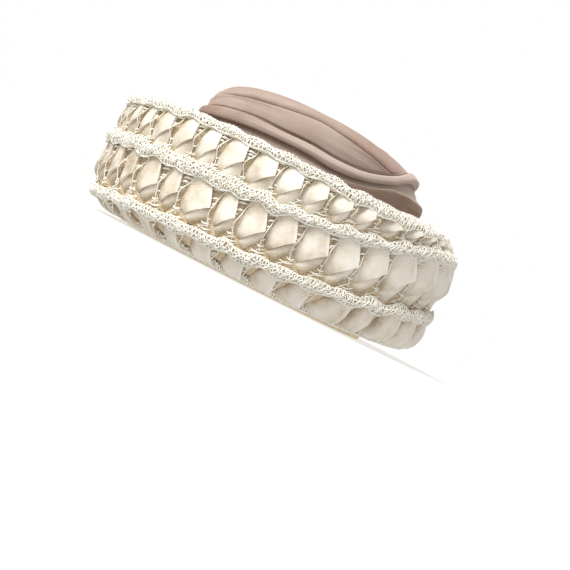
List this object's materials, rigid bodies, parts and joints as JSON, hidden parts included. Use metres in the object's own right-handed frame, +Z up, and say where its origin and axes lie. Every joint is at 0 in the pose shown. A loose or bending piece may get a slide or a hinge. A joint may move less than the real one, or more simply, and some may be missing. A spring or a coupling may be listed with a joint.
{
  "type": "breton hat",
  "caption": "Breton hat with a draped crepe crown and a high turned-up brim of folded ribbon rows between lines of openwork lace.",
  "frame": {"origin": "on the surface that the hat stands on, under the middle of its brim", "axes": "+Z up, front of the hat towards -Y, wearer's left towards +X"},
  "size_m": [0.283, 0.3036, 0.15],
  "materials": {
    "crown_crepe": "matt taupe crepe, softly draped",
    "brim_net": "stiff tan millinery net",
    "ribbon": "cream corded ribbon with a soft sheen",
    "lace": "glossy cream straw lace"
  },
  "bodies": {
    "root": {"crown": "crown_crepe", "drape_band": "crown_crepe", "brim": "brim_net", "ribbon_row_top": "ribbon", "ribbon_row_middle": "ribbon", "ribbon_row_bottom": "ribbon", "lace_edge_top": "lace", "lace_ridge_upper": "lace", "lace_ridge_lower": "lace", "lace_edge_bottom": "lace"}
  },
  "joints": []
}
